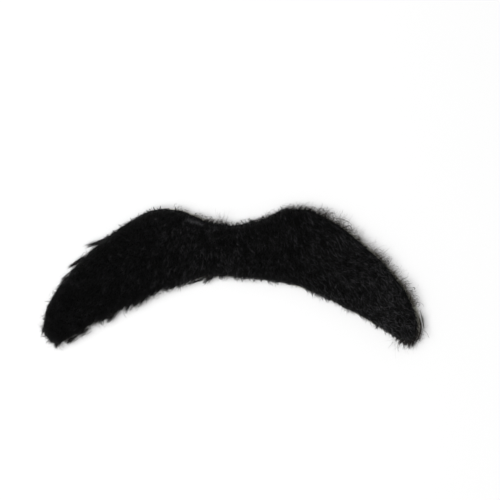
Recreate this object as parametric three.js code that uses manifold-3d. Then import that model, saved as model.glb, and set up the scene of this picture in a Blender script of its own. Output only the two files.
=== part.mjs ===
// Fake moustache for sticking on the upper lip: short black fur fabric, die-cut to shape, with a
// self-adhesive back under a release paper. Millimetres, +Z up. It lies on its back with the pile up.
// Origin: middle of the back, under the nose notch. +X runs along the wings, +Y towards the nose.
import * as THREE from "three";
import { mergeVertices } from "three/addons/utils/BufferGeometryUtils.js";
import Module from "manifold-3d";

const wasm = await Module();
wasm.setup();

// Cut outline, shared by every layer
const cutHalfSpan = 43.85; // middle to a wing's outermost point
const wingDrop = 17.6; // origin down to the outermost point
const tipDrop = 21.6; // origin down to the end of the tip's round
const tipInset = 3.4; // from the outermost point in to the end of the tip's round
const tipSlope = 33.5; // degrees that the lower edge climbs as it leaves the tip
const humpSpacing = 31.2; // between the two highest points, beside the nose
const humpRise = 9.6; // origin up to a hump
const notchRise = 5.5; // origin up to the bottom of the nose notch
const archRise = 5.6; // origin down to the top of the mouth arch

// Fullness of the outline's curves, as shares of the distance that each one crosses
const fullness = {
  notch: 0.46,
  humpInside: 0.45,
  humpOutside: 0.28,
  shoulder: 0.36,
  tipOutside: 0.63,
  tipInside: 0.42,
  lowerEdge: 0.38,
  arch: 0.36,
};

// Layers, from the bottom up
const paperThickness = 0.12;
const paperMargin = 0.3; // release paper past the cut cloth
const adhesiveThickness = 0.25;
const clothThickness = 1.0;

// Pile: a dense bed of fibre roots, with the tips drawn together in locks
const bedHeight = 2.6;
const bedOverhang = 0.4; // bed past the cut cloth
const bedRound = 2.4; // radius of the bed's edge, seen in section
const bedRim = 1.0; // height of the bed's outer wall
const lockLength = 7.6;
const shortestLock = 2.7;
const lockWidth = 2.8;
const lockRise = 1.05; // crest of a lock above the bed
const spacingAcross = 2.5; // least distance between tips across the lie of the pile
const spacingAlong = 4.3; // and along it
const lockOverhang = 1.2; // fringe's tips past the bed
const lockFoot = 0.3; // underside of a lock above the base of the bed
const lockDroop = 0.9; // fall of a tip for each millimetre that it hangs past the bed
const fringeClearance = 0.2; // fringe to the sides of the layers
const rootMargin = 0.5; // least distance from a root in to the edge of the bed
const lockScatter = 0.3; // spread of the locks' lengths and widths, as a share
const overhangScatter = 0.5; // spread of the fringe's overhangs, as a share

// Lie of the pile, in degrees outwards from straight down, by share of the half span from the middle
const napReach = 1.1;
const nap = [
  { along: 0, upper: 0, lower: 0 },
  { along: 0.3, upper: 24, lower: 10 },
  { along: 0.6, upper: 52, lower: 30 },
  { along: 0.85, upper: 56, lower: 34 },
  { along: napReach, upper: 22, lower: 14 },
];
const napTurn = 19; // distance down across a wing in which the lie turns from upper to lower

// A lock from root to tip: width as a share of the largest, crest and flanks as shares of lockRise
// above the bed
const lockSections = [
  { along: 0, width: 0.4, crest: -0.3, flank: -0.6 },
  { along: 0.3, width: 0.86, crest: 0.75, flank: -0.1 },
  { along: 0.6, width: 1, crest: 1, flank: 0.2 },
  { along: 0.84, width: 0.66, crest: 0.8, flank: 0.15 },
  { along: 1, width: 0.1, crest: 0.1, flank: -0.1 },
];

// Corners of a lock's section: reach sideways as a share of half its width, and the level of each
const lockCorners = [
  { reach: -1, level: "foot" },
  { reach: 1, level: "foot" },
  { reach: 1, level: "flank" },
  { reach: 0, level: "crest" },
  { reach: -1, level: "flank" },
];

const outlineSteps = 38; // points on each half of a layer's outline
const bedStations = 17; // sections on each half of the bed
const bedSteps = 7; // points across a section of the bed
const trialStep = 0.9; // between the places tried for a lock's tip

const adhesiveBottom = paperThickness;
const clothBottom = adhesiveBottom + adhesiveThickness;
const pileBottom = clothBottom + clothThickness;

const materials = {
  fur: new THREE.MeshStandardMaterial({ color: 0x0b0b0c, roughness: 0.85, metalness: 0 }),
  cloth: new THREE.MeshStandardMaterial({ color: 0x121213, roughness: 0.95, metalness: 0 }),
  adhesive: new THREE.MeshStandardMaterial({ color: 0xcfc8a8, roughness: 0.35, metalness: 0 }),
  paper: new THREE.MeshStandardMaterial({ color: 0xe6e0c8, roughness: 0.55, metalness: 0 }),
};

const degrees = THREE.MathUtils.degToRad;
const mix = THREE.MathUtils.lerp;

// A fixed scatter from -0.5 to 0.5, the same on every run
function scatter(seed) {
  const wave = Math.sin(seed * 12.9898) * 43758.5453;
  return wave - Math.floor(wave) - 0.5;
}

// A named column of a table, read between its rows
function lookUp(table, column, along) {
  const next = Math.max(1, table.findIndex((row) => row.along >= along));
  const [low, high] = [table[next - 1], table[next]];
  return mix(low[column], high[column], (along - low.along) / (high.along - low.along));
}

// The right half of the outline, clockwise: notch, hump, outermost point, tip, top of the arch
function halfOutline() {
  const humpX = humpSpacing / 2;
  const tipX = cutHalfSpan - tipInset;
  const tipHeight = tipDrop - wingDrop;
  const shoulderWidth = cutHalfSpan - humpX;
  const shoulderHeight = humpRise + wingDrop;
  const inwards = new THREE.Vector2(-Math.cos(degrees(tipSlope)), Math.sin(degrees(tipSlope)));
  const at = (x, y) => new THREE.Vector2(x, y);
  const notch = at(0, notchRise);
  const hump = at(humpX, humpRise);
  const outermost = at(cutHalfSpan, -wingDrop);
  const tip = at(tipX, -tipDrop);
  const archTop = at(0, -archRise);
  const path = new THREE.CurvePath();
  path.add(new THREE.CubicBezierCurve(
    notch,
    at(fullness.notch * humpX, notchRise),
    at(humpX - fullness.humpInside * humpX, humpRise),
    hump,
  ));
  path.add(new THREE.CubicBezierCurve(
    hump,
    at(humpX + fullness.humpOutside * shoulderWidth, humpRise),
    at(cutHalfSpan, fullness.shoulder * shoulderHeight - wingDrop),
    outermost,
  ));
  path.add(new THREE.CubicBezierCurve(
    outermost,
    at(cutHalfSpan, -wingDrop - fullness.tipOutside * tipHeight),
    tip.clone().addScaledVector(inwards, -fullness.tipInside * tipInset),
    tip,
  ));
  path.add(new THREE.CubicBezierCurve(
    tip,
    tip.clone().addScaledVector(inwards, fullness.lowerEdge * tipX),
    at(fullness.arch * tipX, -archRise),
    archTop,
  ));
  return path;
}

const half = halfOutline();
const halfLengths = half.getCurveLengths();
// Share of the half outline where the wing's point lies, in the middle of the tip's round
const tipShare = (halfLengths[1] + halfLengths[2]) / 2 / halfLengths[3];

// A point of the outline moved outwards by a margin. side is 1 on the right wing and -1 on the left
function edgePoint(share, margin, side) {
  const point = half.getPoint(share);
  const tangent = half.getTangent(share);
  const out = new THREE.Vector2(-tangent.y, tangent.x);
  if (share === 0) out.set(0, 1);
  if (share === 1) out.set(0, -1);
  point.addScaledVector(out, margin);
  return new THREE.Vector2(side * point.x, point.y);
}

// The whole outline moved outwards by a margin, as points in clockwise order
function outlinePoints(margin) {
  const points = [];
  for (let i = 0; i <= outlineSteps; i++) points.push(edgePoint(i / outlineSteps, margin, 1));
  for (let i = outlineSteps - 1; i > 0; i--) points.push(edgePoint(i / outlineSteps, margin, -1));
  return points;
}

// A flat layer cut along the outline, from bottom to bottom + thickness
function cutLayer(margin, bottom, thickness) {
  const shape = new THREE.Shape(outlinePoints(margin));
  const layer = new THREE.ExtrudeGeometry(shape, { depth: thickness, bevelEnabled: false });
  return layer.translate(0, 0, bottom);
}

// Height of the bed at a distance in from its edge: an outer wall, then a quarter ellipse
function bedSurface(inset) {
  const share = THREE.MathUtils.clamp(inset / bedRound, 0, 1);
  return mix(bedRim, bedHeight, Math.sqrt(1 - (1 - share) ** 2));
}

// Closed mesh of the bed: a flat base and a crowned top, lofted through sections from tip to tip
function bedGeometry() {
  const vertices = [];
  const faces = [];
  const addVertex = (x, y, height) => vertices.push(x, y, pileBottom + height) / 3 - 1;
  const addQuad = (a, b, c, d) => faces.push(a, b, c, a, c, d);
  const stations = [];
  for (let i = 1 - bedStations; i < bedStations; i++) {
    const along = Math.abs(i) / bedStations;
    const upper = edgePoint(along * tipShare, bedOverhang, Math.sign(i) || 1);
    const lower = edgePoint(1 - along * (1 - tipShare), bedOverhang, Math.sign(i) || 1);
    const width = lower.distanceTo(upper);
    const station = { top: [], bottom: [] };
    for (let j = 0; j <= bedSteps; j++) {
      const share = (1 - Math.cos((Math.PI * j) / bedSteps)) / 2;
      const { x, y } = lower.clone().lerp(upper, share);
      station.top.push(addVertex(x, y, bedSurface(Math.min(share, 1 - share) * width)));
      station.bottom.push(addVertex(x, y, 0));
    }
    stations.push(station);
  }
  for (let i = 1; i < stations.length; i++) {
    const [left, right] = [stations[i - 1], stations[i]];
    for (let j = 0; j < bedSteps; j++) {
      addQuad(left.top[j], right.top[j], right.top[j + 1], left.top[j + 1]);
      addQuad(left.bottom[j + 1], right.bottom[j + 1], right.bottom[j], left.bottom[j]);
    }
    addQuad(left.bottom[0], right.bottom[0], right.top[0], left.top[0]);
    addQuad(right.bottom[bedSteps], left.bottom[bedSteps], left.top[bedSteps], right.top[bedSteps]);
  }
  for (const side of [-1, 1]) {
    const { x, y } = edgePoint(tipShare, bedOverhang, side);
    const top = addVertex(x, y, bedRim);
    const bottom = addVertex(x, y, 0);
    const last = side < 0 ? stations[0] : stations[stations.length - 1];
    const fan = (a, b, c) => (side < 0 ? faces.push(a, c, b) : faces.push(a, b, c));
    for (let j = 0; j < bedSteps; j++) {
      fan(last.top[j], top, last.top[j + 1]);
      fan(last.bottom[j + 1], bottom, last.bottom[j]);
    }
    fan(last.bottom[0], bottom, top);
    fan(last.bottom[0], top, last.top[0]);
    fan(bottom, last.bottom[bedSteps], last.top[bedSteps]);
    fan(bottom, last.top[bedSteps], top);
  }
  const geometry = new THREE.BufferGeometry();
  geometry.setAttribute("position", new THREE.Float32BufferAttribute(vertices, 3));
  return geometry.setIndex(faces);
}

const bedOutline = outlinePoints(bedOverhang);

// Distance from a place in to the edge of the bed; below zero past it
function insetOf({ x, y }) {
  let nearest = Infinity;
  let inside = false;
  bedOutline.forEach((start, i) => {
    const end = bedOutline[(i + 1) % bedOutline.length];
    const [dx, dy] = [end.x - start.x, end.y - start.y];
    const [fromX, fromY] = [x - start.x, y - start.y];
    const share = THREE.MathUtils.clamp((fromX * dx + fromY * dy) / (dx * dx + dy * dy), 0, 1);
    nearest = Math.min(nearest, Math.hypot(share * dx - fromX, share * dy - fromY));
    const spans = start.y > y !== end.y > y;
    if (spans && fromX < (dx * fromY) / dy) inside = !inside;
  });
  return inside ? nearest : -nearest;
}

// Closed mesh of one lock: a tapered ridge with its foot in the bed, set along a line from root to
// tip. Past the edge of the bed it droops
function lockGeometry(root, tip, width) {
  const vertices = [];
  const faces = [];
  const heading = tip.clone().sub(root).normalize();
  const sideways = new THREE.Vector2(-heading.y, heading.x);
  for (const row of lockSections) {
    const middle = root.clone().lerp(tip, row.along);
    for (const { reach, level } of lockCorners) {
      const place = middle.clone().addScaledVector(sideways, (reach * row.width * width) / 2);
      const inset = insetOf(place);
      const base = pileBottom - lockDroop * Math.max(-inset, 0);
      const rise = level === "foot" ? 0 : bedSurface(inset) + row[level] * lockRise;
      const least = level === "foot" ? lockFoot : 2 * lockFoot;
      vertices.push(place.x, place.y, base + Math.max(rise, least));
    }
  }
  const rings = lockSections.length;
  const sides = vertices.length / 3 / rings;
  for (let ring = 1; ring < rings; ring++) {
    for (let i = 0; i < sides; i++) {
      const next = (i + 1) % sides;
      const [a, b] = [(ring - 1) * sides + i, (ring - 1) * sides + next];
      const [c, d] = [ring * sides + next, ring * sides + i];
      faces.push(a, b, c, a, c, d);
    }
  }
  const end = (rings - 1) * sides;
  for (let i = 1; i < sides - 1; i++) {
    faces.push(0, i + 1, i);
    faces.push(end, end + i, end + i + 1);
  }
  const geometry = new THREE.BufferGeometry();
  geometry.setAttribute("position", new THREE.Float32BufferAttribute(vertices, 3));
  return geometry.setIndex(faces);
}

// Direction in which the pile lies at a place
function napHeading({ x, y }) {
  const along = Math.min(Math.abs(x) / cutHalfSpan, napReach);
  const wingMiddle = -wingDrop * along ** 2;
  const share = THREE.MathUtils.clamp(0.5 + (y - wingMiddle) / napTurn, 0, 1);
  const outwards = degrees(mix(lookUp(nap, "lower", along), lookUp(nap, "upper", along), share));
  return new THREE.Vector2(Math.sign(x) * Math.sin(outwards), -Math.cos(outwards));
}

// One lock with its tip at a place, shortened where its root would leave the bed; none if too short
function lockAt(tip, heading, seed) {
  const wanted = lockLength * (1 + lockScatter * scatter(seed));
  const placeBack = (length) => tip.clone().addScaledVector(heading, -length);
  let length = wanted;
  while (length > shortestLock && insetOf(placeBack(length)) < rootMargin) length -= shortestLock / 3;
  if (insetOf(placeBack(length)) < rootMargin) return null;
  const width = lockWidth * (1 + lockScatter * scatter(seed + 0.5)) * Math.sqrt(length / wanted);
  return lockGeometry(placeBack(length), tip, width);
}

// Tips of the fringe, which hangs past the edge wherever the pile lies outwards over it
function fringeTips() {
  const steps = Math.round(halfLengths[3] / spacingAcross);
  const tips = [];
  for (let i = 1; i < 2 * steps; i++) {
    const edge = edgePoint(1 - Math.abs(1 - i / steps), bedOverhang, i > steps ? -1 : 1);
    const heading = napHeading(edge);
    const overhang = lockOverhang * (1 + overhangScatter * scatter(i));
    const tip = edge.clone().addScaledVector(heading, overhang);
    if (insetOf(tip) < -lockOverhang / 3) tips.push({ tip, heading });
  }
  return tips;
}

// The fringe's tips, then tips over the whole bed, each clear of the others along and across the nap
function allTips() {
  const tips = fringeTips();
  for (let y = humpRise; y > -tipDrop; y -= trialStep) {
    for (let x = -cutHalfSpan; x < cutHalfSpan; x += trialStep) {
      const shift = new THREE.Vector2(scatter(x + 57 * y), scatter(y - 31 * x)).multiplyScalar(trialStep);
      const tip = new THREE.Vector2(x, y).add(shift);
      const heading = napHeading(tip);
      const crowded = tips.some((other) => {
        const offset = other.tip.clone().sub(tip);
        const shareAlong = offset.dot(heading) / spacingAlong;
        const shareAcross = offset.cross(heading) / spacingAcross;
        return Math.hypot(shareAlong, shareAcross) < 1;
      });
      if (!crowded && insetOf(tip) > lockOverhang / 2) tips.push({ tip, heading });
    }
  }
  return tips;
}

// A geometry as a manifold-3d solid
function solidOf(geometry) {
  const bare = new THREE.BufferGeometry().setAttribute("position", geometry.getAttribute("position"));
  bare.setIndex(geometry.getIndex());
  const merged = mergeVertices(bare, 1e-4);
  return new wasm.Manifold(new wasm.Mesh({
    numProp: 3,
    vertProperties: merged.attributes.position.array,
    triVerts: new Uint32Array(merged.index.array),
  }));
}

// A manifold-3d solid as a geometry
function geometryOf(solid) {
  const { vertProperties, triVerts } = solid.getMesh();
  const geometry = new THREE.BufferGeometry();
  geometry.setAttribute("position", new THREE.Float32BufferAttribute(vertProperties, 3));
  geometry.setIndex(new THREE.BufferAttribute(triVerts, 1));
  return geometry.toNonIndexed();
}

// The pile: bed and locks joined into one solid that keeps clear of the layers below
function pileGeometry() {
  let pile = solidOf(bedGeometry());
  allTips().forEach(({ tip, heading }, i) => {
    const lock = lockAt(tip, heading, i + 1);
    if (lock) pile = pile.add(solidOf(lock));
  });
  const layers = cutLayer(paperMargin + fringeClearance, 0, pileBottom);
  return geometryOf(pile.subtract(solidOf(layers)));
}

function meshOf(name, geometry, material) {
  const mesh = new THREE.Mesh(geometry, material);
  mesh.name = name;
  return mesh;
}

const moustache = new THREE.Group();
moustache.add(
  meshOf("release_paper", cutLayer(paperMargin, 0, paperThickness), materials.paper),
  meshOf("adhesive_film", cutLayer(0, adhesiveBottom, adhesiveThickness), materials.adhesive),
  meshOf("ground_cloth", cutLayer(0, clothBottom, clothThickness), materials.cloth),
  meshOf("fur_pile", pileGeometry(), materials.fur),
);

export default moustache;
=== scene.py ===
"""Looks of a stick-on moustache: short black fur fabric cut to shape, lying pile up on its backing.

Lengths in the tables and shapes are millimetres, and the light is placed in metres. The frame is the
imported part's: +X along the wings, +Y towards the nose, +Z out of the pile, and the origin in the
middle of the back.
"""

import math

import bpy
import numpy as np
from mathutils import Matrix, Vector


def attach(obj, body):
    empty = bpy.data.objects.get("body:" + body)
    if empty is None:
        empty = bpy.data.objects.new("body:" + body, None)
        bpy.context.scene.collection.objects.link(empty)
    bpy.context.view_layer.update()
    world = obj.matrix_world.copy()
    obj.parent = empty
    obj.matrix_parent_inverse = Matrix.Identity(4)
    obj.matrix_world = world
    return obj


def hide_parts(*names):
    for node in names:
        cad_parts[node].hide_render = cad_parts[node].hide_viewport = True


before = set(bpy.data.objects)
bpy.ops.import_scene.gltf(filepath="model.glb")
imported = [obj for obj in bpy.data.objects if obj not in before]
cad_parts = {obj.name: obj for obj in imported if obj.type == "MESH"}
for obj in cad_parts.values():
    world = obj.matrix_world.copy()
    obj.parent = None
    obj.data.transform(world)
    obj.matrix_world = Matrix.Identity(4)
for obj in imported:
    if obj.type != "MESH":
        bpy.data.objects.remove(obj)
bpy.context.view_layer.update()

MM = 0.001

# Cut outline: the part's own named sizes, and how far the handles of each curve reach, as a share of
# the stretch that it crosses
CUT_HALF_SPAN = 43.85
WING_DROP = 17.6
TIP_DROP = 21.6
TIP_INSET = 3.4
TIP_SLOPE = 33.5
HUMP_SPACING = 31.2
HUMP_RISE = 9.6
NOTCH_RISE = 5.5
ARCH_RISE = 5.6
FULLNESS = {
    "notch": 0.46,
    "hump_inside": 0.45,
    "hump_outside": 0.28,
    "shoulder": 0.36,
    "tip_outside": 0.63,
    "tip_inside": 0.42,
    "lower_edge": 0.38,
    "arch": 0.36,
}

# Ground cloth: height of its underside, thickness and the round of its cut edge
CLOTH_BOTTOM = 0.37
CLOTH_THICKNESS = 1.0
CLOTH_ROUND = 0.12
PILE_BOTTOM = CLOTH_BOTTOM + CLOTH_THICKNESS

# Dense bed of the pile: its outer wall and its top above the cloth, and how far in it rounds up
BED_RIM = 1.0
BED_HEIGHT = 2.6
BED_ROUND = 2.4

# Underfur inside the bed: how far its wall and its top lie under the bed's, and its relief
UNDERFUR_INSET = 0.22
UNDERFUR_SINK = 0.12
UNDERFUR_RELIEF = 0.1

# Pile fibres: radius, usual length over the bed and along the cut edge, lift from the bed in degrees
# and depth of the roots
FIBRE_RADIUS = 0.034
FIBRE_LENGTH = 2.0
EDGE_LENGTH = 1.5
FIBRE_LIFT = 36
ROOT_DEPTH = 0.35

# Past the bed's edge: a fibre's droop for each millimetre and its least height above the table, and
# how the shears shorten one that reaches too far, to a share of its length so many times
DROOP = 0.75
LOWEST_FIBRE = 0.12
CUT_SHARE = 0.86
CUTS = 12

# Lie of the pile in degrees outwards from straight down, by share of the half span from the middle
NAP = [
    {"along": 0.0, "upper": 0, "lower": 0},
    {"along": 0.3, "upper": 24, "lower": 10},
    {"along": 0.6, "upper": 52, "lower": 30},
    {"along": 0.85, "upper": 56, "lower": 34},
    {"along": 1.1, "upper": 22, "lower": 14},
]
# Distance up across a wing in which the lie turns from the lower angle to the upper one
NAP_TURN = 19.0

# The pile's edge, by share of the half outline from notch to arch: how far the dense bed's edge
# lies past the cut, and how far past the bed the fibres are left to reach
EDGE = [
    {"share": 0, "left_bed": 0.42, "left_reach": 0.45, "right_bed": 0.58, "right_reach": 0.5},
    {"share": 0.03, "left_bed": 0.42, "left_reach": 0.7, "right_bed": 0.74, "right_reach": 0.6},
    {"share": 0.05, "left_bed": 0.12, "left_reach": 0.65, "right_bed": 0.4, "right_reach": 0.5},
    {"share": 0.07, "left_bed": -0.25, "left_reach": 0.4, "right_bed": 0.28, "right_reach": 0.4},
    {"share": 0.1, "left_bed": -0.18, "left_reach": 0.2, "right_bed": 0.4, "right_reach": 0.4},
    {"share": 0.12, "left_bed": 0.05, "left_reach": 0.15, "right_bed": 0.65, "right_reach": 0.35},
    {"share": 0.14, "left_bed": 0.2, "left_reach": 0.2, "right_bed": 0.15, "right_reach": 0.5},
    {"share": 0.18, "left_bed": 0.4, "left_reach": 0.2, "right_bed": 0.18, "right_reach": 0.6},
    {"share": 0.2, "left_bed": 0.6, "left_reach": 0.25, "right_bed": -0.15, "right_reach": 0.5},
    {"share": 0.22, "left_bed": 0.42, "left_reach": 0.22, "right_bed": -0.16, "right_reach": 0.5},
    {"share": 0.25, "left_bed": 0.42, "left_reach": 0.3, "right_bed": -0.16, "right_reach": 0.6},
    {"share": 0.28, "left_bed": 0.45, "left_reach": 0.55, "right_bed": -0.3, "right_reach": 0.7},
    {"share": 0.32, "left_bed": 0.42, "left_reach": 0.55, "right_bed": -0.55, "right_reach": 0.5},
    {"share": 0.36, "left_bed": 0.25, "left_reach": 0.45, "right_bed": -0.4, "right_reach": 0.55},
    {"share": 0.38, "left_bed": 0.4, "left_reach": 0.5, "right_bed": -0.3, "right_reach": 0.7},
    {"share": 0.4, "left_bed": 0.44, "left_reach": 0.6, "right_bed": -0.65, "right_reach": 0.7},
    {"share": 0.42, "left_bed": 0.12, "left_reach": 0.6, "right_bed": -0.62, "right_reach": 0.7},
    {"share": 0.44, "left_bed": 0.48, "left_reach": 0.8, "right_bed": -0.52, "right_reach": 0.7},
    {"share": 0.46, "left_bed": 0.42, "left_reach": 0.75, "right_bed": -0.72, "right_reach": 0.7},
    {"share": 0.48, "left_bed": 0.42, "left_reach": 0.5, "right_bed": -1, "right_reach": 0.6},
    {"share": 0.52, "left_bed": 0.26, "left_reach": 0.5, "right_bed": -1, "right_reach": 0.5},
    {"share": 0.54, "left_bed": 0.44, "left_reach": 0.5, "right_bed": -0.98, "right_reach": 0.5},
    {"share": 0.56, "left_bed": 0.3, "left_reach": 0.5, "right_bed": -0.72, "right_reach": 1.1},
    {"share": 0.58, "left_bed": -0.02, "left_reach": 0.6, "right_bed": -1.0, "right_reach": 1.5},
    {"share": 0.6, "left_bed": 0.05, "left_reach": 0.6, "right_bed": -0.38, "right_reach": 1.3},
    {"share": 0.615, "left_bed": 0.05, "left_reach": 0.5, "right_bed": 0.15, "right_reach": 0.6},
    {"share": 0.64, "left_bed": 0.58, "left_reach": 0.4, "right_bed": 0.12, "right_reach": 0.6},
    {"share": 0.655, "left_bed": 0.1, "left_reach": 0.3, "right_bed": 0.16, "right_reach": 0.8},
    {"share": 0.68, "left_bed": 0.1, "left_reach": 1.3, "right_bed": 0.11, "right_reach": 0.5},
    {"share": 0.7, "left_bed": 0.8, "left_reach": 0.7, "right_bed": 0.11, "right_reach": 0.5},
    {"share": 0.72, "left_bed": 0.25, "left_reach": 0.7, "right_bed": 0.2, "right_reach": 0.5},
    {"share": 0.74, "left_bed": 0.52, "left_reach": 0.7, "right_bed": 0.34, "right_reach": 0.55},
    {"share": 0.76, "left_bed": 0.8, "left_reach": 0.7, "right_bed": 0.14, "right_reach": 0.45},
    {"share": 0.78, "left_bed": 0.75, "left_reach": 0.7, "right_bed": 0.2, "right_reach": 0.7},
    {"share": 0.8, "left_bed": 0.68, "left_reach": 0.6, "right_bed": 0.28, "right_reach": 0.6},
    {"share": 0.82, "left_bed": 0.6, "left_reach": 0.6, "right_bed": 0.22, "right_reach": 0.5},
    {"share": 0.84, "left_bed": 0.25, "left_reach": 0.6, "right_bed": 0.08, "right_reach": 0.2},
    {"share": 0.86, "left_bed": 0.5, "left_reach": 0.8, "right_bed": 0.02, "right_reach": 0.15},
    {"share": 0.88, "left_bed": 0.55, "left_reach": 0.6, "right_bed": 0.3, "right_reach": 0.3},
    {"share": 0.9, "left_bed": 0.3, "left_reach": 0.5, "right_bed": 0.4, "right_reach": 0.3},
    {"share": 0.92, "left_bed": 0.18, "left_reach": 0.5, "right_bed": 0.62, "right_reach": 0.22},
    {"share": 0.94, "left_bed": -0.3, "left_reach": 0.8, "right_bed": 0.68, "right_reach": 0.28},
    {"share": 0.96, "left_bed": -0.12, "left_reach": 1.1, "right_bed": 0.6, "right_reach": 0.4},
    {"share": 0.98, "left_bed": 0.05, "left_reach": 1.2, "right_bed": 0.82, "right_reach": 0.6},
    {"share": 1, "left_bed": 0.05, "left_reach": 1.1, "right_bed": 0.15, "right_reach": 0.9},
]

# Tufts that stand out past the cut edge: where each leaves it, the way it points and its size
TUFTS = [
    {"x": -29.9, "y": 2.2, "angle": 195, "length": 6.1, "width": 0.8, "ragged": 0.03, "fibres": 160},
    {"x": -33.0, "y": -0.2, "angle": 215, "length": 1.6, "width": 0.5, "ragged": 0.1, "fibres": 30},
    {"x": -35.8, "y": -2.4, "angle": 210, "length": 4.1, "width": 0.8, "ragged": 0.05, "fibres": 110},
    {"x": -39.4, "y": -6.6, "angle": 224, "length": 1.9, "width": 0.7, "ragged": 0.12, "fibres": 36},
    {"x": -40.3, "y": -8.0, "angle": 228, "length": 1.8, "width": 0.5, "ragged": 0.12, "fibres": 26},
    {"x": -13.8, "y": -8.0, "angle": 232, "length": 2.2, "width": 1.1, "ragged": 0.14, "fibres": 70},
    {"x": -15.6, "y": -8.6, "angle": 250, "length": 1.8, "width": 0.8, "ragged": 0.2, "fibres": 30},
    {"x": -20.9, "y": -11.2, "angle": 238, "length": 2.8, "width": 0.6, "ragged": 0.1, "fibres": 46},
    {"x": -22.4, "y": -11.9, "angle": 238, "length": 2.2, "width": 1.2, "ragged": 0.2, "fibres": 46},
    {"x": -24.6, "y": -13.0, "angle": 246, "length": 2.6, "width": 0.5, "ragged": 0.1, "fibres": 30},
    {"x": -28.6, "y": -15.4, "angle": 240, "length": 2.3, "width": 1.3, "ragged": 0.16, "fibres": 70},
    {"x": -35.4, "y": -19.2, "angle": 212, "length": 1.6, "width": 1.0, "ragged": 0.2, "fibres": 60},
    {"x": -38.0, "y": -21.0, "angle": 216, "length": 1.8, "width": 0.9, "ragged": 0.14, "fibres": 60},
    {"x": -41.3, "y": -21.9, "angle": 256, "length": 1.6, "width": 0.9, "ragged": 0.14, "fibres": 60},
    {"x": -5.1, "y": -6.1, "angle": 218, "length": 3.6, "width": 0.6, "ragged": 0.08, "fibres": 60},
    {"x": -7.9, "y": -7.0, "angle": 204, "length": 3.4, "width": 0.3, "ragged": 0.03, "fibres": 16},
    {"x": -2.8, "y": -5.6, "angle": 250, "length": 1.2, "width": 0.6, "ragged": 0.2, "fibres": 30},
    {"x": 0.6, "y": -5.6, "angle": 250, "length": 1.7, "width": 0.9, "ragged": 0.2, "fibres": 60},
    {"x": 33.9, "y": -17.4, "angle": 240, "length": 1.7, "width": 0.4, "ragged": 0.08, "fibres": 35},
    {"x": 36.0, "y": -18.6, "angle": 252, "length": 1.2, "width": 0.7, "ragged": 0.2, "fibres": 40},
    {"x": 37.6, "y": -19.7, "angle": 240, "length": 1.3, "width": 0.4, "ragged": 0.14, "fibres": 26},
    {"x": 38.5, "y": -20.4, "angle": 246, "length": 1.3, "width": 0.6, "ragged": 0.14, "fibres": 40},
    {"x": 39.5, "y": -21.0, "angle": 234, "length": 1.9, "width": 0.5, "ragged": 0.08, "fibres": 44},
    {"x": 40.5, "y": -21.5, "angle": 248, "length": 1.3, "width": 0.6, "ragged": 0.16, "fibres": 44},
    {"x": 41.4, "y": -21.6, "angle": 256, "length": 2.4, "width": 0.5, "ragged": 0.08, "fibres": 34},
    {"x": 42.2, "y": -21.3, "angle": 266, "length": 2.2, "width": 0.5, "ragged": 0.14, "fibres": 28},
    {"x": 42.75, "y": -20.5, "angle": 284, "length": 1.9, "width": 0.5, "ragged": 0.18, "fibres": 22},
    {"x": 43.2, "y": -20.0, "angle": 292, "length": 2.3, "width": 0.3, "ragged": 0.2, "fibres": 12},
]

# Loose strands that run along the outside of the cut edge, with how far out they start and end
RUNS = [
    {"side": 1, "start": 0.5, "end": 0.57, "out": -0.2, "out_end": 0.45, "spread": 0.07, "fibres": 16},
    {"side": 1, "start": 0.5, "end": 0.54, "out": 0.45, "out_end": 0.8, "spread": 0.12, "fibres": 9},
    {"side": 1, "start": 0.02, "end": 0.09, "out": 0.6, "out_end": 0.6, "spread": 0.16, "fibres": 16},
    {"side": -1, "start": 0.87, "end": 0.955, "out": 1.0, "out_end": 0.55, "spread": 0.1, "fibres": 12},
]

# Curls that stand out singly in the frizz: arcs by centre, radius and the degrees they turn through
CURLS = [
    {"x": 27.1, "y": 5.1, "radius": 0.7, "start": 200, "end": -40, "fibres": 4},
    {"x": 24.0, "y": 2.2, "radius": 5.4, "start": 84, "end": 58, "fibres": 3},
    {"x": 20.0, "y": 8.2, "radius": 1.75, "start": 82, "end": 15, "fibres": 4},
    {"x": 21.9, "y": 9.1, "radius": 0.3, "start": 120, "end": -80, "fibres": 2},
    {"x": 42.2, "y": -8.9, "radius": 0.3, "start": 150, "end": -70, "fibres": 3},
    {"x": 42.1, "y": -12.4, "radius": 1.0, "start": 122, "end": 58, "fibres": 4},
    {"x": 41.4, "y": -9.8, "radius": 0.45, "start": 10, "end": 300, "fibres": 2},
    {"x": 41.9, "y": -10.7, "radius": 0.4, "start": -40, "end": 230, "fibres": 2},
    {"x": -2.8, "y": -6.4, "radius": 0.36, "start": 60, "end": 400, "fibres": 4},
    {"x": 0.9, "y": -6.6, "radius": 0.3, "start": 60, "end": -160, "fibres": 4},
]

# Where the pile lies brushed over: a pale line of painted sheen on the fibre tips, between its two ends
PAINTED_SHEEN_STREAK = {"start": (-10.8, 6.9), "end": (-7.0, 5.8), "width": 0.5}

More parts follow.
